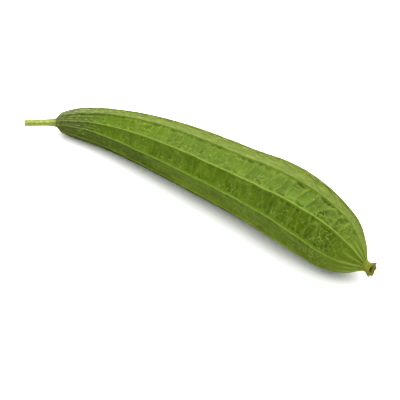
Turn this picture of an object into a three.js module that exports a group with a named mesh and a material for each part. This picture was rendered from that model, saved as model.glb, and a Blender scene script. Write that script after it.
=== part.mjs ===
// A ridge gourd (angled luffa) as picked, lying on its side: the ridged fruit, the cut stem it hung by,
// and the dried base of the flower at its other end.
//
// Millimetres, +Z up. The fruit lies along X with its stem towards -X. The origin is on the surface that
// the gourd lies on, under the middle of its bounding box.
//
// Along the fruit, places are shares of its length, 0 at the stem and 1 at the flower's end. Round it,
// angles are in degrees, 0 level on the -Y side and 90 straight up.

import * as THREE from "three";

// ---- the fruit's curved axis
const FRUIT_LENGTH = 329; // along the axis
const STEM_END = [-153.8, -12.7]; // X and Y of the axis where the stem joins
// [share, degrees that the axis heads to the -Y side of +X]
// The neck crooks, then the fruit runs nearly straight.
const HEADING = [
  [0, -29],
  [0.15, -8],
  [0.35, -0.8],
  [0.65, 3.5],
  [0.85, 9.8],
  [0.94, 10],
  [1, 3],
];
const STEM_END_HEIGHT = 10.5; // of the axis above the surface
const FLOWER_END_HEIGHT = 19.2;
const WALK_STEPS = 656; // of about half a millimetre, that the axis is worked out in
const DIRECTION_STEPS = 6; // to each side of a place, that its direction is taken over

// ---- its girth: a blunt shoulder, a slim neck, a full belly and a short taper
// [share, radius over the ridges]
const RADIUS = [
  [0, 4],
  [0.012, 8.3],
  [0.03, 10.8],
  [0.06, 13.5],
  [0.12, 16.5],
  [0.25, 21.4],
  [0.42, 25.9],
  [0.6, 28.7],
  [0.77, 31.2],
  [0.86, 27.9],
  [0.93, 22.5],
  [0.975, 12.9],
  [1, 4.6],
];

// ---- its ten ridges: each moves from its place on the neck to the one it keeps along the middle, and moves
// again where the fruit closes to the flower's end
const RIDGES_AT_NECK = [110, 73, 42.5, 22, -12, -54, -95, -136, -172, -211];
const RIDGES_ALONG_MIDDLE = [121, 85.7, 47.3, 12.6, -23, -58.5, -94, -130.5, -167, -203];
const RIDGES_AT_FLOWER = [142, 108, 68, 15, -36, -65, -94, -128, -162, -191];
const MIDDLE_FROM = 0.35; // share
const MIDDLE_TO = 0.7;
const RIDGE_HEIGHT = [
  [0, 0.3],
  [0.05, 0.9],
  [0.2, 1.8],
  [0.5, 2.5],
  [0.82, 2.6],
  [0.94, 1.7],
  [1, 0.5],
];
const RIDGE_FOOT = 0.14; // half a ridge's width, as a share of the panel between two ridges
const PANEL_FLATNESS = 0.035; // how far a panel's middle lies inside the round, as a share of the radius
const LOW_RIDGE = 6; // the ridge that the gourd lies on
const PRESSED = 1; // how far that ridge is pressed flat
const LIES_FROM = 0.12; // share
const LIES_TO = 0.77;

// ---- the raised cross veins of each panel, with shallow dishes between them
const VEINS = 28; // along a panel; each panel's veins meet its ridges halfway between its neighbours'
const VEIN_SHARPNESS = 6;
const DISH_DEPTH = 0.7;
const DISHED = [
  [0, 0],
  [0.12, 0.1],
  [0.3, 0.8],
  [0.85, 1],
  [0.95, 0.2],
  [1, 0],
];

// ---- the stem and the dried flower base
const STEM_LENGTH = 28.2;
const STEM_SPLAY = -12; // degrees, its heading beyond the fruit's own
const STEM_RADIUS = [
  [0, 3.9],
  [0.08, 3.45],
  [0.25, 2.85],
  [0.75, 2.65],
  [1, 2.5],
];
const STEM_ANGLES = 5;
const STEM_ANGLE_RISE = 0.09; // of the stem's radius
const SCAR_LENGTH = 7.5;
// [millimetres past the fruit's end, radius, how far the lobes stand out of it]
const SCAR_RINGS = [
  [0, 4.5, 0],
  [2, 4.2, 0.1],
  [4.2, 4.4, 0.3],
  [6.1, 4.8, 0.7],
  [SCAR_LENGTH, 5, 1],
];
const SCAR_FACE = [
  [SCAR_LENGTH - 1.6, 3.6],
  [SCAR_LENGTH - 2.2, 1.6],
  [SCAR_LENGTH - 0.8, 1.2],
];
const SCAR_LOBES = 5;
const SCAR_LOBE_REACH = 0.7;
const SCAR_NOTCH = 0.2; // how deep the notches between lobes are, as a share of the lobes' reach
const SCAR_TEETH = 3; // on each lobe's edge
const SCAR_TOOTH_REACH = 0.35; // as a share of the lobes' reach
const JOINT_GAP = 0.3; // between pieces that touch

// ---- how finely the solids are cut
const PANEL_CUTS = [0.04, RIDGE_FOOT, 0.5, 1 - RIDGE_FOOT, 0.96];
const CUTS_PER_VEIN = 4;
const START_CUTS = [0, 0.004, 0.01, 0.018, 0.027];
const END_CUTS = [0.974, 0.983, 0.992, 1];
const STEM_SIDES = 20;
const STEM_STATIONS = 12;
const SCAR_SIDES = 40;

const SKIN_GREEN = new THREE.MeshStandardMaterial({ color: 0x6f9138, roughness: 0.5, metalness: 0 });
const STEM_GREEN = new THREE.MeshStandardMaterial({ color: 0xaabb55, roughness: 0.55, metalness: 0 });
const SCAR_OLIVE = new THREE.MeshStandardMaterial({ color: 0x8d8a2a, roughness: 0.8, metalness: 0 });

const radians = THREE.MathUtils.degToRad;

// A smooth curve through [x, y] points, read at x.
function through(points, x) {
  const last = points.length - 1;
  const rise = (i) => (points[i + 1][1] - points[i][1]) / (points[i + 1][0] - points[i][0]);
  const slope = (i) => {
    if (i === 0) return rise(0);
    if (i === last) return rise(last - 1);
    const before = points[i][0] - points[i - 1][0];
    const after = points[i + 1][0] - points[i][0];
    return (rise(i - 1) * after + rise(i) * before) / (before + after);
  };
  const at = Math.min(Math.max(x, points[0][0]), points[last][0]);
  let i = 0;
  while (i < last - 1 && at >= points[i + 1][0]) i += 1;
  const width = points[i + 1][0] - points[i][0];
  const u = (at - points[i][0]) / width;
  return (
    (2 * u ** 3 - 3 * u ** 2 + 1) * points[i][1] +
    (u ** 3 - 2 * u ** 2 + u) * width * slope(i) +
    (3 * u ** 2 - 2 * u ** 3) * points[i + 1][1] +
    (u ** 3 - u ** 2) * width * slope(i + 1)
  );
}

// The axis stands as high over the surface as the low ridge reaches down, so that the belly and neck
// both rest.
const LOW_REACH = -Math.sin(radians(RIDGES_ALONG_MIDDLE[LOW_RIDGE]));
const AXIS_HEIGHT = [
  [0, STEM_END_HEIGHT],
  ...RADIUS.filter(([share]) => share >= LIES_FROM && share <= LIES_TO).map(([share, radius]) => [
    share,
    radius * LOW_REACH - PRESSED,
  ]),
  [1, FLOWER_END_HEIGHT],
];

// The axis as a walk of short steps, each with its place and direction.
function walkAxis() {
  const step = FRUIT_LENGTH / WALK_STEPS;
  const places = [new THREE.Vector3(...STEM_END, through(AXIS_HEIGHT, 0))];
  for (let i = 1; i <= WALK_STEPS; i += 1) {
    const heading = radians(through(HEADING, (i - 0.5) / WALK_STEPS));
    const climb = through(AXIS_HEIGHT, i / WALK_STEPS) - through(AXIS_HEIGHT, (i - 1) / WALK_STEPS);
    const level = Math.sqrt(step ** 2 - climb ** 2);
    const ahead = new THREE.Vector3(level * Math.cos(heading), -level * Math.sin(heading), climb);
    places.push(places[i - 1].clone().add(ahead));
  }
  return places;
}
const AXIS = walkAxis();

// The place on the axis, with the directions along it, level across it to the -Y side, and up across it.
function frameAt(share) {
  const exact = share * WALK_STEPS;
  const i = Math.min(Math.floor(exact), WALK_STEPS - 1);
  const place = AXIS[i].clone().lerp(AXIS[i + 1], exact - i);
  const before = AXIS[Math.max(i - DIRECTION_STEPS, 0)];
  const after = AXIS[Math.min(i + 1 + DIRECTION_STEPS, WALK_STEPS)];
  const along = after.clone().sub(before).normalize();
  const across = along.clone().cross(new THREE.Vector3(0, 0, 1)).normalize();
  const up = across.clone().cross(along);
  return { place, along, across, up };
}

// A point at a distance from a frame's place, in the direction of an angle, moved along by an offset.
function pointRound(frame, angle, radius, offset = 0) {
  return frame.place
    .clone()
    .addScaledVector(frame.across, radius * Math.cos(angle))
    .addScaledVector(frame.up, radius * Math.sin(angle))
    .addScaledVector(frame.along, offset);
}

const easedStep = (x) => {
  const u = Math.min(Math.max(x, 0), 1);
  return u * u * (3 - 2 * u);
};

// The fruit's radius at a share of its length, on a panel, at a share q of the way from the panel's ridge
// to the next.
function skinRadius(share, panel, q) {
  const overRidges = through(RADIUS, share);
  const ridge = through(RIDGE_HEIGHT, share);
  const crest = 1 - easedStep(Math.min(q, 1 - q) / RIDGE_FOOT);
  const across = Math.sin(Math.PI * q);
  const vein = Math.cos(Math.PI * (share * VEINS + panel / 2)) ** VEIN_SHARPNESS;
  const dish = DISH_DEPTH * through(DISHED, share) * (1 - vein) * across;
  return (overRidges - ridge) * (1 - PANEL_FLATNESS * across) + ridge * crest - dish;
}

// A closed skin over rings of as many points each, with a fan over each end.
function closedSkin(rings, startPoint, endPoint) {
  const sides = rings[0].length;
  const points = [...rings.flat(), startPoint, endPoint];
  const start = rings.length * sides;
  const faces = [];
  for (let j = 0; j < sides; j += 1) {
    const next = (j + 1) % sides;
    for (let i = 0; i < rings.length - 1; i += 1) {
      const [a, b] = [i * sides + j, i * sides + next];
      faces.push(a, b, a + sides, b, b + sides, a + sides);
    }
    const top = (rings.length - 1) * sides;
    faces.push(start, next, j, start + 1, top + j, top + next);
  }
  const geometry = new THREE.BufferGeometry().setFromPoints(points);
  geometry.setIndex(faces);
  geometry.computeVertexNormals();
  return geometry;
}

// The places of all the ridges at a share of the fruit's length, and of the first one again after a full
// turn.
function ridgesAt(share) {
  const settled = easedStep(share / MIDDLE_FROM);
  const wound = easedStep((share - MIDDLE_TO) / (1 - MIDDLE_TO));
  const ridges = RIDGES_ALONG_MIDDLE.map((middle, i) => {
    const before = THREE.MathUtils.lerp(RIDGES_AT_NECK[i], middle, settled);
    return THREE.MathUtils.lerp(before, RIDGES_AT_FLOWER[i], wound);
  });
  return [...ridges, ridges[0] - 360];
}

function fruitRing(share) {
  const frame = frameAt(share);
  const ridges = ridgesAt(share);
  return ridges.slice(0, -1).flatMap((ridge, panel) =>
    PANEL_CUTS.map((q) => {
      const angle = radians(THREE.MathUtils.lerp(ridge, ridges[panel + 1], q));
      const point = pointRound(frame, angle, skinRadius(share, panel, q));
      point.z = Math.max(point.z, 0);
      return point;
    }),
  );
}

function makeFruit() {
  const cuts = VEINS * CUTS_PER_VEIN;
  const between = Array.from({ length: cuts }, (_, i) => i / cuts).filter(
    (share) => share > START_CUTS.at(-1) && share < END_CUTS[0],
  );
  const shares = [...START_CUTS, ...between, ...END_CUTS];
  return closedSkin(shares.map(fruitRing), frameAt(0).place, frameAt(1).place);
}

// The stem leaves the shoulder square, then bends a little on its way to the cut.
function makeStem() {
  const root = frameAt(0);
  const heading = radians(HEADING[0][1] + STEM_SPLAY);
  const outward = new THREE.Vector3(-Math.cos(heading), Math.sin(heading), 0);
  const rings = [];
  const place = root.place.clone().addScaledVector(root.along, -JOINT_GAP);
  const centres = [];
  for (let i = 0; i <= STEM_STATIONS; i += 1) {
    const share = i / STEM_STATIONS;
    const along = root.along.clone().negate().lerp(outward, easedStep(share * 2)).normalize();
    if (i > 0) place.addScaledVector(along, STEM_LENGTH / STEM_STATIONS);
    const across = along.clone().cross(new THREE.Vector3(0, 0, 1)).normalize();
    const frame = { place: place.clone(), along, across, up: across.clone().cross(along) };
    const radius = through(STEM_RADIUS, share);
    const ring = [];
    for (let j = 0; j < STEM_SIDES; j += 1) {
      const angle = (-2 * Math.PI * j) / STEM_SIDES;
      ring.push(pointRound(frame, angle, radius * (1 + STEM_ANGLE_RISE * Math.cos(STEM_ANGLES * angle))));
    }
    rings.push(ring);
    centres.push(frame.place);
  }
  return closedSkin(rings, centres[0], centres.at(-1));
}

// The dried flower base: a short collar that flares into ragged lobes round a sunken face.
function makeScar() {
  const frame = frameAt(1);
  const ringAt = (offset, radius, spread) => {
    const ring = [];
    for (let j = 0; j < SCAR_SIDES; j += 1) {
      const angle = (-2 * Math.PI * j) / SCAR_SIDES;
      const teeth = SCAR_TOOTH_REACH * Math.cos(SCAR_TEETH * SCAR_LOBES * angle);
      const lobe = Math.max(Math.cos(SCAR_LOBES * angle), -SCAR_NOTCH) + teeth;
      ring.push(pointRound(frame, angle, radius + spread * SCAR_LOBE_REACH * lobe, offset + JOINT_GAP));
    }
    return ring;
  };
  const rings = [
    ...SCAR_RINGS.map(([offset, radius, spread]) => ringAt(offset, radius, spread)),
    ...SCAR_FACE.map(([offset, radius]) => ringAt(offset, radius, 0)),
  ];
  const [faceOffset] = SCAR_FACE.at(-1);
  return closedSkin(
    rings,
    pointRound(frame, 0, 0, JOINT_GAP),
    pointRound(frame, 0, 0, faceOffset + JOINT_GAP),
  );
}

function named(name, geometry, material) {
  const mesh = new THREE.Mesh(geometry, material);
  mesh.name = name;
  return mesh;
}

const gourd = new THREE.Group();
gourd.add(named("fruit", makeFruit(), SKIN_GREEN));
gourd.add(named("stem", makeStem(), STEM_GREEN));
gourd.add(named("flower_scar", makeScar(), SCAR_OLIVE));

export default gourd;
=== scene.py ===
"""A ridge gourd lying on a pale floor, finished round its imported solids: the ridged and veined skin of the
fruit, the fresh-cut stem, and the dried base of the flower.

Metres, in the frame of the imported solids. Along the fruit, places are shares of its length, 0 at the stem
and 1 at the flower's end. Round it, angles are in degrees, 0 level on the -Y side and 90 straight up. A
panel is the strip of skin from one ridge to the next, and a place across it is a share of its width.
"""

import math
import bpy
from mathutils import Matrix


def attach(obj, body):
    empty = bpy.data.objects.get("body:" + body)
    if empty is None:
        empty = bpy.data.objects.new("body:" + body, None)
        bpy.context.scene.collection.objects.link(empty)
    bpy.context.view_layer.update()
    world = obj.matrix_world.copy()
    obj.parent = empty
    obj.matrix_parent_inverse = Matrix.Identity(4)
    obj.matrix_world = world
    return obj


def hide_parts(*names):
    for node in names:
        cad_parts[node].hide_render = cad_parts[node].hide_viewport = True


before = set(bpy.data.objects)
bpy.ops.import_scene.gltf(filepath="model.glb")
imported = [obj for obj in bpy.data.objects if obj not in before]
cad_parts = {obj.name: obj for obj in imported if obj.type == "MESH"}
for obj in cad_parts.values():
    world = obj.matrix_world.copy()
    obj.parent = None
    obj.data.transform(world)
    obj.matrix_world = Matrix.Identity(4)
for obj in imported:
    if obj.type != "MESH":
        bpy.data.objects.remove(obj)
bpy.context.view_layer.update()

from types import SimpleNamespace

import bpy
from mathutils import Vector, noise

MM = 0.001
UP = Vector((0, 0, 1))
TURN = 2 * math.pi

# ---- the fruit's curved axis, as the solids have it, with the heights of its ends in millimetres
FRUIT_LENGTH = 329 * MM
STEM_END = (-153.8 * MM, -12.7 * MM)
HEADING = [
    # share along the fruit, degrees from +X towards -Y
    (0, -29), (0.15, -8), (0.35, -0.8), (0.65, 3.5), (0.85, 9.8), (0.94, 10), (1, 3),
]
STEM_END_HEIGHT = 10.5
FLOWER_END_HEIGHT = 19.2
WALK_STEPS = 656
DIRECTION_STEPS = 6  # that an end's direction is measured over

# ---- its girth
RADIUS = [
    # share along the fruit, millimetres from the axis to a ridge
    (0, 4), (0.012, 8.3), (0.03, 10.8), (0.06, 13.5), (0.12, 16.5), (0.25, 21.4), (0.42, 25.9),
    (0.6, 28.7), (0.77, 31.2), (0.86, 27.9), (0.93, 22.5), (0.975, 12.9), (1, 4.6),
]

# ---- its ridges: the angle of each at the stem, along the middle, and at the flower
RIDGES_AT_NECK = [110, 73, 42.5, 22, -12, -54, -95, -136, -172, -211]
RIDGES_ALONG_MIDDLE = [121, 85.7, 47.3, 12.6, -23, -58.5, -94, -130.5, -167, -203]
RIDGES_AT_FLOWER = [142, 108, 68, 15, -36, -65, -94, -128, -162, -191]
RIDGES = len(RIDGES_ALONG_MIDDLE)
MIDDLE_FROM = 0.35
MIDDLE_TO = 0.7
LOW_RIDGE = 6  # the one that the gourd lies on
LIES_FROM = 0.12
LIES_TO = 0.77
PRESSED = 1  # millimetres that lying on it flattens it by

# ---- what differs from panel to panel, from the first ridge on: how olive it has grown, how much painted shade it
# gets along the middle and on the neck (most on the panels that face down, away from the light), how strongly
# its net stands out, and how much painted light it gets beside its own ridge and towards the next one
PANEL_TONE = [1, 0.1, 0, 0.42, 0.5, 0.3, 0.4, 0.2, 0.4, 0.9]
PANEL_PAINTED_SHADE = [0, 0.14, 0.34, 0.32, 0.3, 0.3, 0.4, 0.3, 0.1, 0]
PANEL_PAINTED_SHADE_AT_NECK = [0, 0.26, 0.3, 0.85, 0.6, 0.5, 0.5, 0.4, 0.1, 0]
PANEL_VEINING = [0.12, 1, 0.75, 0.3, 0.7, 0.9, 0.6, 0.9, 0.8, 0.1]
PANEL_FOOT_PAINTED_LIGHT = [0, 0.35, 0.15, 0, 0.5, 0.2, 0.2, 0.2, 0.2, 0.2]
PANEL_EDGE_PAINTED_LIGHT = [0, 0, 0, 0.76, 0.3, 0.2, 0, 0, 0, 0]
# ---- and from ridge to ridge: how pale its crest is
RIDGE_PALENESS = [1, 0.4, 1, 1, 0.6, 0.8, 0.6, 0.8, 0.9, 0.6]

# ---- what changes along the fruit: how deep the flutes between the ridges are, in millimetres
FLUTE_DEPTH = [(0, 0.3), (0.05, 0.9), (0.2, 2), (0.5, 2.9), (0.82, 3.1), (0.94, 2), (1, 0.5)]
# ---- and how strongly the net, the dents and the lengthwise stripes show
NETTING = [(0, 0), (0.1, 0.3), (0.28, 0.7), (0.5, 0.9), (0.7, 1), (0.93, 1), (0.965, 0.3), (1, 0)]
DENTING = [(0, 0), (0.08, 0.4), (0.2, 0.6), (0.45, 0.7), (0.7, 1), (0.92, 1), (0.97, 0.2), (1, 0)]
STRIPING = [(0, 0.7), (0.06, 1), (0.14, 0.8), (0.24, 0.2), (0.4, 0), (0.92, 0), (0.96, 0.6), (1, 0.85)]

# ---- the stem, in millimetres
STEM_LENGTH = 28.2
STEM_SPLAY = -12  # degrees that its heading ends up beyond the fruit's own
STEM_SUNK = 1.4
STEM_RADIUS = [(0, 4.4), (0.06, 3.9), (0.14, 3.4), (0.28, 3.05), (0.75, 2.9), (1, 2.85)]
STEM_ANGLES = 5
STEM_ANGLE_HEIGHT = 0.1  # as a share of the radius
STEM_ANGLE_FADE = 0.3  # the share of that height that has gone at the cut
STEM_FURROWS = 15
STEM_FURROW_DEPTH = 0.05
STEM_ROUGHNESS = 0.12
STEM_CUT = [
    # share of the stalk's girth, millimetres past its end, how much it looks like the cut face
    (0.96, 0.12, 0.3), (0.9, 0.14, 1), (0.75, 0.02, 1), (0.5, -0.1, 1), (0.2, -0.22, 1),
]

# ---- the dried base of the flower, in millimetres
SCAR_SUNK = 1.5
SCAR_LENGTH = 7.4
SCAR_LIFT = 0.4  # that the axis's last point is raised by to find the way the collar faces
SCAR_PROFILE = [
    # onward, radius, share of the lobes' reach, how dried it is
    (-SCAR_SUNK, 5.9, 0, 0), (-0.6, 5.3, 0, 0), (0.3, 4.75, 0, 0), (1.4, 4.3, 0.03, 0.05),
    (2.8, 4.1, 0.08, 0.15), (4.2, 4.3, 0.25, 0.3), (5.4, 4.7, 0.5, 0.4), (6.5, 5.1, 0.8, 0.5),
    (7.2, 5.2, 1, 0.6), (SCAR_LENGTH, 5.1, 1, 0.65), (SCAR_LENGTH, 4.7, 0.85, 0.6), (7.0, 4.2, 0.55, 0.55),
    (6.6, 3.4, 0.2, 0.65), (6.3, 2.5, 0.05, 0.9), (6.2, 1.7, 0, 1), (6.5, 1.3, 0, 1),
    (6.9, 1.15, 0, 0.9), (7.2, 0.8, 0, 0.9), (7.3, 0.3, 0, 0.9),
]
LOBES = [
    # degrees round, width in degrees, reach outward, reach onward
    (18, 24, 1.5, 0.9), (82, 20, 1.0, 0.3), (128, 26, 1.4, 1.0),
    (205, 22, 0.8, 0.5), (262, 28, 1.0, 0.9), (322, 20, 1.1, 0.2),
]
LOBE_STEEPNESS = 1.5
SCAR_RIBS = 10
SCAR_RIB_HEIGHT = 0.12
SCAR_RAGGEDNESS = 0.5
SCAR_MOTTLING = 0.3

# ---- colours of the skin
GREEN = (0.054, 0.094, 0.003)
FRESH_GREEN = (0.069, 0.119, 0.0045)
SHADE_AND_SPECK_GREEN = (0.024, 0.044, 0.001)
LIT_GREEN = (0.110, 0.155, 0.014)
YELLOW_GREEN = (0.100, 0.138, 0.011)
GREY_GREEN = (0.048, 0.058, 0.013)
OLIVE = (0.072, 0.094, 0.007)
OLIVE_DARK = (0.037, 0.054, 0.0035)
OLIVE_LINE = (0.126, 0.150, 0.018)
PALE_LINE = (0.125, 0.170, 0.026)
BRIGHT_LINE = (0.155, 0.205, 0.035)
DARK_LINE = (0.016, 0.026, 0.004)
PAINTED_SHEEN = (0.069, 0.105, 0.030)
BLOOM = (0.22, 0.22, 0.14)
# ---- of the stem
STALK = (0.205, 0.232, 0.045)
STALK_STREAK = (0.115, 0.140, 0.012)
STALK_FOOT = (0.080, 0.105, 0.010)
CUT_RIM = (0.16, 0.15, 0.04)
CUT_FACE = (0.22, 0.22, 0.08)
CUT_RING = (0.14, 0.12, 0.03)
# ---- of the dried flower base
COLLAR = (0.118, 0.136, 0.010)
COLLAR_DARK = (0.060, 0.072, 0.003)
YELLOWED = (0.090, 0.080, 0.004)
BROWNED = (0.034, 0.024, 0.001)
# ---- and of the floor
FLOOR_GREY = (0.93, 0.93, 0.935)
FLOOR_WHITE = (0.95, 0.95, 0.95)

# ---- the camera, over the floor point that it looks at
CAMERA_AIM = (5.3 * MM, -8.9 * MM, 0)
CAMERA_AZIMUTH = 39
CAMERA_ELEVATION = 38
CAMERA_DISTANCE = 1.2
CAMERA_LENS = 130  # millimetres

# ---- the floor and the light
FLOOR_HALF_WIDTH = 4
TENT_BRIGHTEST = (-0.33, 0.41, 0.85)  # a direction
TENT_DIM = 0.36
TENT_BRIGHT = 3
TENT_DIM_UP_TO = -0.3  # cosine of the angle from the brightest direction
TENT_BRIGHT_FROM = 0.9
SOFTBOX_PLACE = (-0.3, 0.4, 1.25)
SOFTBOX_WIDTH = 0.8
SOFTBOX_POWER = 24  # watts


# ------------------------------------------------------------------ node trees as Python expressions
class Wire:
    """A node's output. Python's operators on it add Math nodes, or Vector Math nodes where it is a vector."""

    def __init__(self, tree, socket):
        self.tree = tree
        self.socket = socket

    def calculate(self, operation, *values):
        wires = [self, *values]
        kind = "ShaderNodeVectorMath" if any(is_vector(wire) for wire in wires) else "ShaderNodeMath"
        return add(self.tree, kind, {"operation": operation}, dict(enumerate(wires)))

    def __add__(self, other):
        return self.calculate("ADD", other)

    def __radd__(self, other):
        return self.calculate("ADD", other)

    def __sub__(self, other):
        return self.calculate("SUBTRACT", other)

    def __rsub__(self, other):
        return add(self.tree, "ShaderNodeMath", {"operation": "SUBTRACT"}, {0: other, 1: self})

    def __mul__(self, other):
        if is_vector(self) and not is_vector(other):
            return add(self.tree, "ShaderNodeVectorMath", {"operation": "SCALE"}, {0: self, "Scale": other})
        return self.calculate("MULTIPLY", other)

    def __rmul__(self, other):
        return self * other

    def __truediv__(self, other):
        return self.calculate("DIVIDE", other)

    def __rtruediv__(self, other):
        return add(self.tree, "ShaderNodeMath", {"operation": "DIVIDE"}, {0: other, 1: self})

    def __pow__(self, other):
        return self.calculate("POWER", other)

    def floor(self):
        return self.calculate("FLOOR")

    def size(self):
        return self.calculate("ABSOLUTE")

    def sine(self):
        return self.calculate("SINE")

    def cosine(self):
        return self.calculate("COSINE")

    def looped(self, count):
        """The remainder that dividing by the count leaves, from 0 up."""
        return self.calculate("FLOORED_MODULO", count)

    def at_least(self, other):
        return self.calculate("MAXIMUM", other)

    def at_most(self, other):
        return self.calculate("MINIMUM", other)

    def step(self, low, high):
        """0 up to low, 1 from high on, and a smooth rise between. With low over high it falls."""
        return add(
            self.tree, "ShaderNodeMapRange", {"interpolation_type": "SMOOTHSTEP"},
            {"Value": self, "From Min": low, "From Max": high},
        )

    def split(self):
        return [add(self.tree, "ShaderNodeSeparateXYZ", {}, {0: self}, output=i) for i in range(3)]


def is_vector(value):
    return isinstance(value, tuple) or (isinstance(value, Wire) and value.socket.type == "VECTOR")


def find_socket(sockets, key):
    """A socket by its number, by its identifier, or by its name where it is in use."""
    if isinstance(key, int):
        return sockets[key]
    for socket in sockets:
        if key == socket.identifier or (key == socket.name and socket.enabled):
            return socket
    raise KeyError(f"{key} is not among {[s.identifier for s in sockets]}")


def add(tree, kind, settings=None, values=None, output=0):
    """Adds a node with its settings, then gives its sockets their values or links. Returns one output."""
    node = tree.nodes.new(kind)
    for name, value in (settings or {}).items():
        if name == "points":
            curve = node.mapping.curves[0]
            while len(curve.points) < len(value):
                curve.points.new(0.5, 0.5)
            for point, (x, y) in zip(curve.points, value):
                point.location = (x, y)
                point.handle_type = "VECTOR"
            node.mapping.update()
        else:
            setattr(node, name, value)
    for key, value in (values or {}).items():
        socket = find_socket(node.inputs, key)
        if isinstance(value, Wire):
            tree.links.new(value.socket, socket)
        elif isinstance(value, tuple) and socket.type == "RGBA" and len(value) == 3:
            socket.default_value = (*value, 1)
        else:
            socket.default_value = value
    return Wire(tree, find_socket(node.outputs, output))


def joined(x, y, z):
    return add(x.tree, "ShaderNodeCombineXYZ", {}, {0: x, 1: y, 2: z})


def mixed(factor, first, second):
    """The colour first where the factor is 0, and second where it is 1."""
    return add(
        factor.tree, "ShaderNodeMix", {"data_type": "RGBA"},
        {"Factor_Float": factor, "A_Color": first, "B_Color": second}, output="Result_Color",
    )


def clouds(vector, scale, detail=2.0, roughness=0.5, seed=0.0):
    """Noise from 0 to 1 round 0.5, of a scale given as blotches per metre."""
    return add(
        vector.tree, "ShaderNodeTexNoise", {"noise_dimensions": "4D"},
        {"Vector": vector, "W": seed, "Scale": scale, "Detail": detail, "Roughness": roughness},
    )


def drawn(points, value):
    """The height, at a value, of the straight lines that join the points."""
    return add(value.tree, "ShaderNodeFloatCurve", {"points": points}, {"Value": value})


# ------------------------------------------------------------------ the fruit's axis
def through(points, x):
    """A smooth curve through (x, y) points, read at x."""
    last = len(points) - 1

    def rise(i):
        return (points[i + 1][1] - points[i][1]) / (points[i + 1][0] - points[i][0])

    def slope(i):
        if i == 0:
            return rise(0)
        if i == last:
            return rise(last - 1)
        before = points[i][0] - points[i - 1][0]
        after = points[i + 1][0] - points[i][0]
        return (rise(i - 1) * after + rise(i) * before) / (before + after)

    x = min(max(x, points[0][0]), points[last][0])
    i = 0
    while i < last - 1 and x >= points[i + 1][0]:
        i += 1
    width = points[i + 1][0] - points[i][0]
    u = (x - points[i][0]) / width
    return (
        (2 * u**3 - 3 * u**2 + 1) * points[i][1]
        + (u**3 - 2 * u**2 + u) * width * slope(i)
        + (3 * u**2 - 2 * u**3) * points[i + 1][1]
        + (u**3 - u**2) * width * slope(i + 1)
    )


def walk_axis():
    """Points about half a millimetre apart along the fruit's axis."""
    low_reach = -math.sin(math.radians(RIDGES_ALONG_MIDDLE[LOW_RIDGE]))
    lying = [(share, radius) for share, radius in RADIUS if LIES_FROM <= share <= LIES_TO]
    resting = [(share, radius * low_reach - PRESSED) for share, radius in lying]
    heights = [(0, STEM_END_HEIGHT), *resting, (1, FLOWER_END_HEIGHT)]
    step = FRUIT_LENGTH / WALK_STEPS
    places = [Vector((*STEM_END, through(heights, 0) * MM))]
    for i in range(1, WALK_STEPS + 1):
        heading = math.radians(through(HEADING, (i - 0.5) / WALK_STEPS))
        climb = (through(heights, i / WALK_STEPS) - through(heights, (i - 1) / WALK_STEPS)) * MM
        level = math.sqrt(step**2 - climb**2)
        places.append(places[-1] + Vector((level * math.cos(heading), -level * math.sin(heading), climb)))
    return places


AXIS = walk_axis()


def square_to(along):
    """The directions level across a line, and up across it."""
    across = along.cross(UP).normalized()
    return across, across.cross(along)


def new_mesh(name, points, faces, edges=()):
    mesh = bpy.data.meshes.new(name)
    mesh.from_pydata(points, edges, faces)
    mesh.update()
    piece = bpy.data.objects.new(name, mesh)
    bpy.context.scene.collection.objects.link(piece)
    return piece


def store(mesh, name, values):
    layer = mesh.attributes.new(name, "FLOAT", "POINT")
    layer.data.foreach_set("value", values)


# ------------------------------------------------------------------ the fruit's skin, its shape
SKIN_INPUTS = [
    # name, kind of socket, value
    ("Stations", "NodeSocketInt", 420),
    ("Cuts in a panel", "NodeSocketInt", 22),
    ("Length", "NodeSocketFloat", FRUIT_LENGTH),
    ("Crest width", "NodeSocketFloat", 0.085),
    ("Crest sharpness", "NodeSocketFloat", 0.34),
    ("Vein pitch", "NodeSocketFloat", 9.5 * MM),
    ("Vein height", "NodeSocketFloat", 0.45 * MM),
    ("Dish depth", "NodeSocketFloat", 0.5 * MM),
    ("Dent pitch", "NodeSocketFloat", 4.4 * MM),
    ("Dent depth", "NodeSocketFloat", 0.75 * MM),
    ("Crinkle height", "NodeSocketFloat", 0.8 * MM),
    ("Groove depth", "NodeSocketFloat", 0.6 * MM),
    ("Stripe height", "NodeSocketFloat", 0.3 * MM),
    ("Unevenness", "NodeSocketFloat", 1.1 * MM),
    ("Wander", "NodeSocketFloat", 0.05),
    ("Seed", "NodeSocketFloat", 3.0),
    ("Skin", "NodeSocketMaterial", None),
]
END_CROWDING = 0.2  # how much closer the stations lie at the fruit's ends
RIDGE_CROWDING = 0.6  # and the cuts at the ridges
HAIR = 0.0001  # more than an error of rounding, and less than any step of the grid
MERGE_WITHIN = 0.001 * MM


def axis_path():
    """The axis as a wire, with what changes along the fruit kept on its points."""
    edges = [(i, i + 1) for i in range(WALK_STEPS)]
    path = new_mesh("fruit_skin", AXIS, [], edges)
    changing = {
        "girth": (RADIUS, MM), "flute_depth": (FLUTE_DEPTH, MM), "netting": (NETTING, 1),
        "denting": (DENTING, 1), "striping": (STRIPING, 1),
    }
    for name, (points, unit) in changing.items():
        values = [max(through(points, i / WALK_STEPS), 0) * unit for i in range(WALK_STEPS + 1)]
        store(path.data, name, values)
    return path


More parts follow.
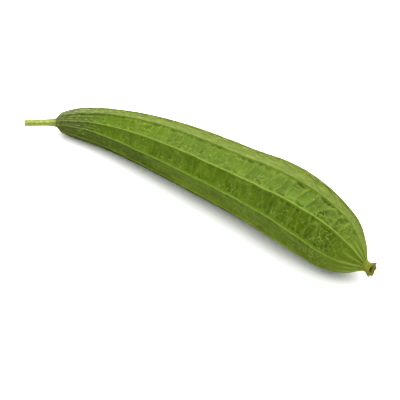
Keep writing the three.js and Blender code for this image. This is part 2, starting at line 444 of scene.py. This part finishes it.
def lay_grid(given, at):
    """A grid to bend round the axis: a row of points for each station, in columns round the fruit."""
    columns = given["Cuts in a panel"] * RIDGES + 1.0
    grid = add(at.tree, "GeometryNodeMeshGrid", {}, {"Vertices X": given["Stations"], "Vertices Y": columns})
    index = add(at.tree, "GeometryNodeInputIndex")
    row = (index / columns + HAIR).floor()
    column = index - row * columns
    evenly = row / (given["Stations"] - 1.0)
    at.share = evenly - (evenly * TURN).sine() * (END_CROWDING / TURN)
    at.inside = evenly.calculate("GREATER_THAN", HAIR) * evenly.calculate("LESS_THAN", 1 - HAIR)
    at.panel = (column / given["Cuts in a panel"] + HAIR).floor()
    cut = column / given["Cuts in a panel"] - at.panel
    at.across_panel = cut - (cut * TURN).sine() * (RIDGE_CROWDING / TURN)
    at.from_crest = 0.5 - (at.across_panel - 0.5).size()
    return grid


def follow_axis(path, at):
    """The axis's place and directions at each station, and what changes along it."""
    curve = add(at.tree, "GeometryNodeMeshToCurve", {}, {0: path})

    def sampled(output, name=None):
        values = {"Curves": curve, "Factor": at.share}
        if name:
            values["Value"] = add(
                at.tree, "GeometryNodeInputNamedAttribute", {"data_type": "FLOAT"}, {"Name": name},
            )
        return add(at.tree, "GeometryNodeSampleCurve", {"mode": "FACTOR"}, values, output)

    at.centre = sampled("Position")
    along = sampled("Tangent")
    at.across = along.calculate("CROSS_PRODUCT", (0.0, 0.0, 1.0)).calculate("NORMALIZE")
    at.upward = at.across.calculate("CROSS_PRODUCT", along)
    at.girth = sampled("Value", "girth")
    at.flute_depth = sampled("Value", "flute_depth")
    at.netting = sampled("Value", "netting")
    at.denting = sampled("Value", "denting")
    at.striping = sampled("Value", "striping")


def turn_ridges(at):
    """The angle of each point round the axis, which follows the ridges' own angles."""
    lowest, span = -270, 420  # degrees, because a curve's heights go from 0 to 1

    def placed(angles):
        closed = [*angles, angles[0] - 360]
        points = [(i / RIDGES, (angle - lowest) / span) for i, angle in enumerate(closed)]
        return drawn(points, (at.panel + at.across_panel) / RIDGES)

    at_neck = placed(RIDGES_AT_NECK)
    at_middle = placed(RIDGES_ALONG_MIDDLE)
    at_flower = placed(RIDGES_AT_FLOWER)
    angle = at_neck + (at_middle - at_neck) * at.share.step(0.0, MIDDLE_FROM)
    angle = angle + (at_flower - angle) * at.share.step(MIDDLE_TO, 1.0)
    at.angle = angle * math.radians(span) + math.radians(lowest)


def listed(values, which):
    """A panel's or a ridge's own value, from a list. After the last one comes the first again."""
    points = [((i + 0.5) / RIDGES, value) for i, value in enumerate(values)]
    return drawn(points, (which.looped(RIDGES) + 0.5) / RIDGES)


def compare_panels(at):
    """What differs from panel to panel and from ridge to ridge."""
    at.tone = listed(PANEL_TONE, at.panel)
    at.veining = listed(PANEL_VEINING, at.panel)
    # painted shade: darker on the panels that face down and away from the light, and at the neck most on the
    # low panel
    depth = listed(PANEL_PAINTED_SHADE, at.panel)
    at.depth = depth + (listed(PANEL_PAINTED_SHADE_AT_NECK, at.panel) - depth) * at.share.step(0.42, 0.3)
    at.paleness = listed(RIDGE_PALENESS, (at.panel + at.across_panel + 0.5).floor())

    # painted light at the foot of a panel's own ridge, and towards the next one, where a thin painted rim of
    # light is lightest
    foot = at.across_panel.step(0.27, 0.1) * listed(PANEL_FOOT_PAINTED_LIGHT, at.panel) * at.share.step(0.1, 0.3)
    edge = at.across_panel.step(0.6, 1.0) * at.share.step(0.3, 0.55) * 0.42
    rim = at.across_panel.step(0.94, 0.99) * at.share.step(0.08, 0.2) * 0.6
    at.lightness = foot.at_least((edge + rim) * listed(PANEL_EDGE_PAINTED_LIGHT, at.panel))


def raise_ridges(given, at):
    """Sharp, slightly knobbly crests that run out into shallow flutes."""
    at.crest = at.from_crest.step(given["Crest width"], 0.0)
    spread = (1.0 - at.from_crest * 2.0) ** 2.0
    sharp = given["Crest sharpness"]
    knobs = 0.65 + clouds(at.unrolled, 160.0, seed=at.seed + 13.0) * 0.7
    at.fluting = at.flute_depth * (at.crest * sharp * knobs + spread * (1.0 - sharp) - 1.0)


def cells(at, pitch, wander, rows, randomness):
    """How far each point is from the edge of its cell, in a net of each panel's own."""
    along_panel = at.length / pitch + (clouds(at.unrolled, 70.0, seed=at.seed) - 0.5) * wander
    across_net = at.across_panel * rows + at.panel.looped(RIDGES) * 10.0
    return add(
        at.tree, "ShaderNodeTexVoronoi", {"voronoi_dimensions": "2D", "feature": "DISTANCE_TO_EDGE"},
        {"Vector": joined(along_panel, across_net, 0.0), "Scale": 1.0, "Randomness": randomness},
    )


def raise_net(given, at):
    """Cross veins with shallow dishes between them, a finer net of dents in patches, and crinkles."""
    within = at.from_crest.step(0.04, 0.16)
    at.veined = at.netting * at.veining * within
    at.edge = cells(at, given["Vein pitch"], wander=1.2, rows=0.7, randomness=0.8)
    at.vein = at.edge.step(0.09, 0.0) * at.veined
    at.dish = at.edge.step(0.0, 0.4) * at.veined

    # most of the dents lie on the side of a panel towards the next ridge
    patches = clouds(at.unrolled, 45.0, detail=3.0, seed=at.seed + 7.0).step(0.42, 0.6)
    sided = 0.35 + at.across_panel.step(0.3, 0.7) * 0.65
    at.dents = at.denting * at.veining * within * patches * sided
    fine_edge = cells(at, given["Dent pitch"], wander=1.5, rows=3.4, randomness=1.0)
    at.fine_vein = fine_edge.step(0.1, 0.0) * at.dents
    at.dent = fine_edge.step(0.02, 0.35) * at.dents
    at.crinkle = (clouds(at.unrolled, 330.0, roughness=0.6, seed=at.seed + 17.0) - 0.5) * at.veined


def cut_grooves(at):
    """Short grooves along the foot of each ridge, which stop at the veins."""
    winding = clouds(at.unrolled, 150.0, seed=at.seed + 19.0) * 0.14
    foot = (at.from_crest - 0.04 - winding).size().step(0.06, 0.0)
    broken = clouds(at.unrolled, 190.0, detail=1.0, seed=at.seed + 3.0).step(0.4, 0.54)
    at.groove = foot * broken * at.edge.step(0.03, 0.16) * at.netting * (0.2 + at.veining * 0.8)


def draw_stripes(at):
    """Stripes, three to a panel and broken along the neck, two and whole at the flower's end."""
    stripes_in_panel = 3.0 - at.share.step(0.5, 0.6)
    wavering = at.across_panel * stripes_in_panel + clouds(at.unrolled, 45.0, seed=at.seed + 5.0) - 0.5
    dashes = clouds(at.unrolled * (0.4, 1.0, 1.0), 380.0, seed=at.seed + 15.0).step(0.36, 0.6)
    dashes = dashes.at_least(at.share.step(0.8, 0.9))
    at.stripe = (wavering * TURN).cosine() * 0.5 * (0.15 + dashes * 0.85) * at.striping


def skin_radius(given, at):
    """How far the skin is from the axis, with all of its relief."""
    uneven = (clouds(at.unrolled, 22.0, seed=at.seed + 9.0) - 0.5) * at.netting
    radius = at.girth + at.fluting
    radius = radius + at.vein * given["Vein height"] - at.dish * given["Dish depth"]
    radius = radius - at.dent * given["Dent depth"] - at.groove * given["Groove depth"]
    radius = radius + at.stripe * given["Stripe height"] + at.crinkle * given["Crinkle height"]
    return radius + uneven * given["Unevenness"]


def skin_place(given, at):
    """Where each point of the grid goes: round the axis, on the axis at both ends, never under the floor."""
    wander = (clouds(at.unrolled, 75.0, seed=at.seed + 21.0) - 0.5) * given["Wander"] * at.inside
    angle = at.angle + wander
    outward = at.across * angle.cosine() + at.upward * angle.sine()
    x, y, z = (at.centre + outward * (skin_radius(given, at) * at.inside)).split()
    return joined(x, y, z.at_least(0.0))


def keep(geometry, name, value, kind="FLOAT"):
    """Keeps a value on the geometry's points, for its finish."""
    return add(
        geometry.tree, "GeometryNodeStoreNamedAttribute", {"data_type": kind, "domain": "POINT"},
        {"Geometry": geometry, "Name": name, "Value": value},
    )


def skin_tree():
    """Sweeps the ridged, veined skin round the wire, and closes it at both ends."""
    tree = bpy.data.node_groups.new("Ridged skin", "GeometryNodeTree")
    tree.interface.new_socket("Path", in_out="INPUT", socket_type="NodeSocketGeometry")
    for name, kind, _ in SKIN_INPUTS:
        tree.interface.new_socket(name, in_out="INPUT", socket_type=kind)
    tree.interface.new_socket("Skin", in_out="OUTPUT", socket_type="NodeSocketGeometry")
    group = tree.nodes.new("NodeGroupInput")
    given = {socket.name: Wire(tree, socket) for socket in group.outputs if socket.name}

    # what is found out about each point of the skin, step by step
    at = SimpleNamespace(tree=tree, seed=given["Seed"])
    grid = lay_grid(given, at)
    follow_axis(given["Path"], at)
    turn_ridges(at)
    at.length = at.share * given["Length"]
    at.unrolled = joined(at.length, at.angle.cosine() * at.girth, at.angle.sine() * at.girth)
    compare_panels(at)
    raise_ridges(given, at)
    raise_net(given, at)
    cut_grooves(at)
    draw_stripes(at)
    made = add(tree, "GeometryNodeSetPosition", {}, {"Geometry": grid, "Position": skin_place(given, at)})

    faded = clouds(at.unrolled, 60.0, seed=at.seed + 11.0).step(0.3, 0.6)
    shown = {
        "along": at.share, "tone": at.tone, "depth": at.depth, "lightness": at.lightness,
        "crest": at.crest, "paleness": at.paleness, "stripe": at.stripe, "groove": at.groove,
        "netted": at.veined, "vein": (at.vein * faded).at_least(at.fine_vein),
        "wrinkled": at.dents, "dent": at.dent,
    }
    for name, value in shown.items():
        made = keep(made, name, value)
    made = keep(made, "unrolled", at.unrolled, "FLOAT_VECTOR")
    made = add(tree, "GeometryNodeMergeByDistance", {}, {"Geometry": made, "Distance": MERGE_WITHIN})
    made = add(tree, "GeometryNodeSetShadeSmooth", {}, {"Geometry": made})
    made = add(tree, "GeometryNodeRealizeInstances", {}, {"Geometry": made})
    made = add(tree, "GeometryNodeSetMaterial", {}, {"Geometry": made, "Material": given["Skin"]})
    out = tree.nodes.new("NodeGroupOutput")
    tree.links.new(made.socket, out.inputs[0])
    return tree


def make_fruit(material):
    """The skin, which a modifier sweeps round the wire and which is then made the piece's own plain mesh."""
    piece = axis_path()
    modifier = piece.modifiers.new("Ridged skin", "NODES")
    modifier.node_group = skin_tree()
    values = {name: value for name, _, value in SKIN_INPUTS} | {"Skin": material}
    for item in modifier.node_group.interface.items_tree:
        if item.in_out == "INPUT" and item.name in values:
            modifier[item.identifier] = values[item.name]
    evaluated = piece.evaluated_get(bpy.context.evaluated_depsgraph_get())
    mesh = bpy.data.meshes.new_from_object(evaluated)
    piece.modifiers.clear()
    piece.data = mesh
    return piece


# ------------------------------------------------------------------ the stem and the dried flower base
def lathe(name, rings, material, attributes):
    """A skin over rings of as many points each, closed by a point at each end, with values for each point."""
    sides = len(rings[0])
    points = [p for ring in rings for p in ring]
    start, end = len(points), len(points) + 1
    points += [sum(rings[0], Vector()) / sides, sum(rings[-1], Vector()) / sides]
    faces = []
    for i in range(len(rings) - 1):
        for j in range(sides):
            k = (j + 1) % sides
            faces.append((i * sides + j, i * sides + k, (i + 1) * sides + k, (i + 1) * sides + j))
    top = (len(rings) - 1) * sides
    for j in range(sides):
        k = (j + 1) % sides
        faces.append((start, k, j))
        faces.append((end, top + j, top + k))
    piece = new_mesh(name, points, faces)
    for key, values in attributes.items():
        store(piece.data, key, [*values, values[0], values[-1]])
    piece.data.materials.append(material)
    for polygon in piece.data.polygons:
        polygon.use_smooth = True
    return piece


def around(place, across, upward, angle, radius):
    """The point at an angle round a place, at a radius in millimetres."""
    return place + (across * math.cos(angle) + upward * math.sin(angle)) * radius * MM


def stem_frames(stations):
    """The stalk's places and directions. It leaves the shoulder square, and stops bending halfway along."""
    out = (AXIS[0] - AXIS[DIRECTION_STEPS]).normalized()
    heading = math.radians(HEADING[0][1] + STEM_SPLAY)
    away = Vector((-math.cos(heading), math.sin(heading), 0))
    step = (STEM_LENGTH + STEM_SUNK) / stations * MM
    place = AXIS[0] - out * STEM_SUNK * MM
    frames = []
    for i in range(stations + 1):
        bend = min(i / stations * 2, 1)
        along = out.lerp(away, bend * bend * (3 - 2 * bend)).normalized()
        if i:
            place = place + along * step
        frames.append((place, along, *square_to(along)))
    return frames


def stem_radius(share, angle):
    """The stalk's radius, with its blunt angles, its furrows and a little roughness."""
    blunt = 1 + STEM_ANGLE_HEIGHT * math.cos(STEM_ANGLES * angle) * (1 - STEM_ANGLE_FADE * share)
    spot = Vector((share * 5, 2.2 * math.cos(angle), 2.2 * math.sin(angle)))
    rough = STEM_ROUGHNESS * noise.noise(spot)
    furrow = STEM_FURROW_DEPTH * math.cos(STEM_FURROWS * angle + 1.3)
    return through(STEM_RADIUS, share) * blunt + rough + furrow


def make_stem(material):
    """The stalk and its cut, whose edge dries and turns in a little round a slightly sunken face."""
    sides, stations = 60, 90
    frames = stem_frames(stations)
    angles = [TURN * j / sides for j in range(sides)]
    rings, share_of, face_of = [], [], []
    for i, (place, _, across, upward) in enumerate(frames):
        share = i / stations
        rings.append([around(place, across, upward, angle, stem_radius(share, angle)) for angle in angles])
        share_of += [share] * sides
        face_of += [0] * sides
    place, along, _, _ = frames[-1]
    for shrink, ahead, face in STEM_CUT:
        rings.append([place.lerp(p, shrink) + along * ahead * MM for p in rings[stations]])
        share_of += [1] * sides
        face_of += [face] * sides
    return lathe("stem_stalk", rings, material, {"along": share_of, "cut_face": face_of})


def lobes_reach(angle):
    """How far the lobes of the dried flower reach at an angle, outward and onward."""
    outward = onward = 0
    for middle, width, out_reach, on_reach in LOBES:
        off = (math.degrees(angle) - middle + 180) % 360 - 180
        height = math.exp(-((off / width) ** 2) * LOBE_STEEPNESS)
        outward += out_reach * height
        onward += on_reach * height
    return outward, onward


def make_scar(material):
    """The collar that the flower stood on, with ragged dry lobes round a sunken face and the style's stub."""
    sides, steps = 120, 3
    out = (AXIS[-1] + UP * SCAR_LIFT * MM - AXIS[-1 - DIRECTION_STEPS]).normalized()
    across, upward = square_to(out)
    rings, dried = [], []
    for i in range((len(SCAR_PROFILE) - 1) * steps + 1):
        k, u = divmod(i, steps)
        first, second = SCAR_PROFILE[k], SCAR_PROFILE[min(k + 1, len(SCAR_PROFILE) - 1)]
        onward, radius, reach, dry = [a + (b - a) * u / steps for a, b in zip(first, second)]
        ring = []
        for j in range(sides):
            angle = TURN * j / sides
            bump, lift = lobes_reach(angle)
            spot = Vector((math.cos(angle) * 2.5, math.sin(angle) * 2.5, i * 0.12))
            ragged = SCAR_RAGGEDNESS * noise.noise(spot * 2) * (0.2 + reach)
            rib = SCAR_RIB_HEIGHT * math.cos(SCAR_RIBS * angle + 0.6) * (1 - reach)
            centre = AXIS[-1] + out * (onward + lift * reach + ragged * reach) * MM
            ring.append(around(centre, across, upward, angle, radius + bump * reach + ragged + rib))
            dried.append(min(max(dry + SCAR_MOTTLING * noise.noise(spot * 1.3), 0), 1))
        rings.append(ring)
    return lathe("flower_scar_collar", rings, material, {"dried": dried})


# ------------------------------------------------------------------ finishes
def new_material(name):
    material = bpy.data.materials.new(name)
    material.use_nodes = True
    tree = material.node_tree
    tree.nodes.clear()
    shader = tree.nodes.new("ShaderNodeBsdfPrincipled")
    out = tree.nodes.new("ShaderNodeOutputMaterial")
    tree.links.new(shader.outputs[0], out.inputs[0])
    return material, tree, shader


def attribute(tree, name, output="Fac"):
    return add(tree, "ShaderNodeAttribute", {"attribute_name": name}, output=output)


def object_place(tree):
    return add(tree, "ShaderNodeTexCoord", {}, output="Object")


def finish(tree, shader, colour, roughness, height, depth, shine):
    """Gives a shader its colour, its roughness, its shine, and its fine relief of a depth in metres."""
    bump = add(tree, "ShaderNodeBump", {}, {"Height": height, "Distance": depth, "Strength": 1.0})
    for name, wire in (("Base Color", colour), ("Roughness", roughness), ("Normal", bump)):
        tree.links.new(wire.socket, shader.inputs[name])
    shader.inputs["Specular IOR Level"].default_value = shine


def plain_skin(skin):
    """Green with fresher blotches, olive where the panel has weathered, greyer at the neck, with painted
    shade, light and sheen.
    """
    blotches = clouds(skin.unrolled, 55.0, detail=3.0)
    mottle = clouds(skin.unrolled, 150.0, detail=3.0, seed=12.0)
    bands = clouds(skin.unrolled * (1.0, 0.3, 0.3), 120.0, seed=20.0).step(0.4, 0.68) * skin.netted
    colour = mixed(blotches.step(0.3, 0.72), GREEN, FRESH_GREEN)
    weathered = mixed(skin.streaks.step(0.4, 0.49), OLIVE_DARK, OLIVE)
    weathered = mixed(skin.streaks.step(0.56, 0.62), weathered, OLIVE_LINE)
    colour = mixed(skin.tone, colour, weathered)
    colour = mixed(skin.neck * 0.85, colour, GREY_GREEN)
    # painted shade from the panels' table, less on the neck, with random mottle and bands of deeper green
    painted_shade_and_mottle = skin.depth * (1.0 - skin.neck * 0.5) + mottle.step(0.45, 0.75) * 0.25 + bands * 0.3 - 0.06
    colour = mixed(painted_shade_and_mottle, colour, SHADE_AND_SPECK_GREEN)
    # painted light, at the foot of some ridges and along the lower edge of some panels
    colour = mixed(skin.lightness, colour, LIT_GREEN)

    # painted sheen, a faint pale reflection on the upper panels, where the painted shade is slight
    colour = mixed(skin.depth.step(0.3, 0.1) * 0.22, colour, PAINTED_SHEEN)

    # lengthwise smears, dark and light, where a panel is both olive and painted with shade
    smears = clouds(skin.lengthwise, 260.0, seed=24.0)
    smeared = skin.tone * skin.depth * 7.0
    colour = mixed(smeared * smears.step(0.5, 0.38) * 0.4, colour, OLIVE_DARK)
    return mixed(smeared * smears.step(0.52, 0.66) * 0.18, colour, LIT_GREEN)


def fine_net(skin):
    """A net finer than the mesh: raised threads that break off, and the hollows between them."""
    shift = add(
        skin.tree, "ShaderNodeTexNoise", {}, {"Vector": skin.unrolled, "Scale": 230.0, "Detail": 2.0},
        output="Color",
    )
    bent = skin.unrolled * (1.25, 0.8, 0.8) + shift * 0.011
    net = add(
        skin.tree, "ShaderNodeTexVoronoi", {"feature": "DISTANCE_TO_EDGE"}, {"Vector": bent, "Scale": 190.0},
    )
    broken = clouds(skin.unrolled, 130.0, seed=14.0).step(0.42, 0.58)
    puckered = skin.along.step(0.85, 0.91) * skin.along.step(0.975, 0.94) * skin.netted.step(0.05, 0.6)
    netting = ((skin.netted * 0.5 + skin.wrinkled) * broken + puckered * 0.6).at_most(1.0)
    thread = net.step(0.09, 0.01) * netting
    hollow = net.step(0.1, 0.35) * (skin.wrinkled * broken).at_least(puckered * 0.6)
    return thread, hollow


def lined_skin(skin, colour, thread, hollow):
    """Paints shade into the grooves, dents and hollows, yellows the flower's end, and draws the stripes, nets
    and crests' broken lines.
    """
    # painted shade in the grooves at the ridges' feet, in the dents and in the net's hollows
    colour = mixed(skin.groove * 0.8 + skin.dent * 0.3 + hollow * 0.34, colour, SHADE_AND_SPECK_GREEN)
    colour = mixed(skin.along.step(0.9, 1.0) * 0.55, colour, YELLOW_GREEN)
    colour = mixed((skin.stripe * 2.0).step(0.4, 0.75) * (1.0 - skin.depth), colour, BRIGHT_LINE)
    colour = mixed((skin.stripe * -2.0).step(0.1, 0.9) * (0.3 + skin.neck * 0.5), colour, DARK_LINE)
    colour = mixed(skin.vein * 0.4, colour, PALE_LINE)
    colour = mixed(thread * 0.7, colour, BRIGHT_LINE)
    beads = clouds(skin.unrolled * (0.6, 1.0, 1.0), 450.0, seed=4.0).step(0.36, 0.58)
    crest_line = skin.crest ** 7.0 * skin.paleness * (0.7 + beads * 0.5) * (1.0 - skin.tone * 0.3)
    return mixed(crest_line, colour, BRIGHT_LINE)


def flecked_skin(skin, colour):
    """Adds pale flecks and dark specks, small warts on the shoulder, and a grainy bloom on the neck."""
    stretched = skin.unrolled * (0.7, 1.0, 1.0)

    def dots(scale, many, seed):
        spot = add(
            skin.tree, "ShaderNodeTexVoronoi", {"feature": "F1"}, {"Vector": stretched, "Scale": scale},
            output="Distance",
        )
        return spot.step(0.24, 0.1) * clouds(skin.unrolled, 80.0, seed=seed).step(many, many - 0.1)

    colour = mixed(dots(190.0, 0.46, 8.0) * 0.5, colour, BRIGHT_LINE)
    colour = mixed(dots(260.0, 0.48, 16.0) * 0.7, colour, SHADE_AND_SPECK_GREEN)
    warts = clouds(stretched, 420.0, detail=1.0, seed=22.0)
    shoulder = skin.along.step(0.05, 0.12) * skin.along.step(0.32, 0.16) * (1.0 - skin.depth)
    colour = mixed(shoulder * warts.step(0.54, 0.66) * 0.2, colour, BRIGHT_LINE)
    colour = mixed(shoulder * warts.step(0.47, 0.36) * 0.26, colour, DARK_LINE)
    grain = clouds(skin.unrolled, 650.0, seed=18.0)
    colour = mixed(skin.neck * grain.step(0.5, 0.7) * 0.4, colour, DARK_LINE)
    return mixed(skin.neck * grain.step(0.55, 0.35) * 0.24 * (1.0 - skin.depth), colour, BLOOM)


def skin_material():
    """The rind. Its patterns are laid out on the skin unrolled, and follow what is kept on its points."""
    material, tree, shader = new_material("gourd skin")
    kept = (
        "along", "tone", "depth", "lightness", "crest", "paleness", "stripe", "groove",
        "netted", "vein", "wrinkled", "dent",
    )
    skin = SimpleNamespace(tree=tree, **{name: attribute(tree, name) for name in kept})
    skin.unrolled = attribute(tree, "unrolled", "Vector")
    skin.lengthwise = skin.unrolled * (0.16, 1.0, 1.0)
    skin.streaks = clouds(skin.lengthwise, 640.0, detail=3.0, roughness=0.65, seed=2.0)
    skin.neck = skin.along.step(0.2, 0.02)
    thread, hollow = fine_net(skin)
    colour = lined_skin(skin, plain_skin(skin), thread, hollow)
    colour = flecked_skin(skin, colour)
    roughness = 0.42 + clouds(skin.unrolled, 240.0, seed=5.0) * 0.14 + skin.vein * 0.05
    pits = clouds(skin.unrolled, 900.0, seed=6.0)
    height = pits * 0.15 + skin.streaks * 0.3 + thread * 0.9 - hollow * 0.6
    finish(tree, shader, colour, roughness, height, depth=0.6 * MM, shine=0.02)
    return material


def stem_material():
    """Pale stalk streaked with green, greener at its foot, with a drier rim and rings on its cut."""
    material, tree, shader = new_material("fresh stem")
    along, cut = attribute(tree, "along"), attribute(tree, "cut_face")
    place = object_place(tree)
    stretched = add(
        tree, "ShaderNodeMapping", {"vector_type": "POINT"},
        {"Vector": place, "Rotation": (0.0, 0.0, math.radians(-38)), "Scale": (0.12, 1.0, 1.0)},
    )
    streaks = clouds(stretched, 1500.0, detail=3.0)
    rings = clouds(place, 900.0, seed=3.0)
    colour = mixed(streaks.step(0.4, 0.65), STALK, STALK_STREAK)
    colour = mixed(along.step(0.3, 0.0) * 0.6, colour, STALK_FOOT)
    colour = mixed(along.step(0.93, 1.0) * 0.35, colour, CUT_RIM)
    colour = mixed(cut * 0.9, colour, CUT_FACE)
    colour = mixed(cut * rings.step(0.5, 0.7) * 0.4, colour, CUT_RING)
    finish(tree, shader, colour, 0.5 + streaks * 0.15, streaks, depth=0.25 * MM, shine=0.15)
    return material


def scar_material():
    """Mottled olive collar that yellows and then browns where it has dried."""
    material, tree, shader = new_material("dried flower base")
    dried = attribute(tree, "dried")
    mottle = clouds(object_place(tree), 650.0, detail=4.0, roughness=0.6)
    colour = mixed(mottle.step(0.35, 0.7), COLLAR, COLLAR_DARK)
    colour = mixed(dried.step(0.4, 0.85) * 0.8, colour, YELLOWED)
    colour = mixed(dried.step(0.72, 0.95) * (0.5 + mottle.step(0.35, 0.6) * 0.5), colour, BROWNED)
    finish(tree, shader, colour, 0.6 + mottle * 0.25, mottle, depth=0.6 * MM, shine=0.1)
    return material


def floor_material():
    material, tree, shader = new_material("pale floor")
    colour = mixed(clouds(object_place(tree), 4.0), FLOOR_GREY, FLOOR_WHITE)
    tree.links.new(colour.socket, shader.inputs["Base Color"])
    shader.inputs["Roughness"].default_value = 0.9
    shader.inputs["Specular IOR Level"].default_value = 0.1
    return material


# ------------------------------------------------------------------ floor, light and camera
def make_floor():
    half = FLOOR_HALF_WIDTH
    corners = [(-half, -half, 0), (half, -half, 0), (half, half, 0), (-half, half, 0)]
    floor = new_mesh("floor", corners, [(0, 1, 2, 3)])
    floor.data.materials.append(floor_material())


def set_up(data, place, direction):
    """Stands a light or a camera at a place, and turns it to a direction."""
    thing = bpy.data.objects.new(data.name, data)
    thing.location = place
    thing.rotation_mode = "QUATERNION"
    thing.rotation_quaternion = direction.to_track_quat("-Z", "Y")
    bpy.context.scene.collection.objects.link(thing)
    return thing


def light_studio():
    """A white tent, bright above and behind and dim on the camera's side, with a softbox overhead."""
    world = bpy.data.worlds.new("studio")
    bpy.context.scene.world = world
    world.use_nodes = True
    tree = world.node_tree
    direction = add(tree, "ShaderNodeTexCoord", {}, output="Generated")
    facing = add(
        tree, "ShaderNodeVectorMath", {"operation": "DOT_PRODUCT"}, {0: direction, 1: TENT_BRIGHTEST},
        output="Value",
    )
    colour = mixed(facing.step(TENT_DIM_UP_TO, TENT_BRIGHT_FROM), (TENT_DIM,) * 3, (TENT_BRIGHT,) * 3)
    tree.links.new(colour.socket, tree.nodes["Background"].inputs["Color"])

    softbox = bpy.data.lights.new("overhead softbox", "AREA")
    softbox.shape = "DISK"
    softbox.size = SOFTBOX_WIDTH
    softbox.energy = SOFTBOX_POWER
    set_up(softbox, SOFTBOX_PLACE, -Vector(SOFTBOX_PLACE))
    bpy.context.scene.view_settings.view_transform = "Standard"


def set_camera():
    azimuth, elevation = math.radians(CAMERA_AZIMUTH), math.radians(CAMERA_ELEVATION)
    back = Vector((
        math.sin(azimuth) * math.cos(elevation),
        -math.cos(azimuth) * math.cos(elevation),
        math.sin(elevation),
    ))
    data = bpy.data.cameras.new("camera")
    data.lens = CAMERA_LENS
    bpy.context.scene.camera = set_up(data, Vector(CAMERA_AIM) + back * CAMERA_DISTANCE, -back)


set_camera()
light_studio()
make_floor()
for piece, node, slot in (
    (make_fruit(skin_material()), "fruit", "skin"),
    (make_stem(stem_material()), "stem", "stem"),
    (make_scar(scar_material()), "flower_scar", "dried_flower"),
):
    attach(piece, "root")
    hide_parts(node)
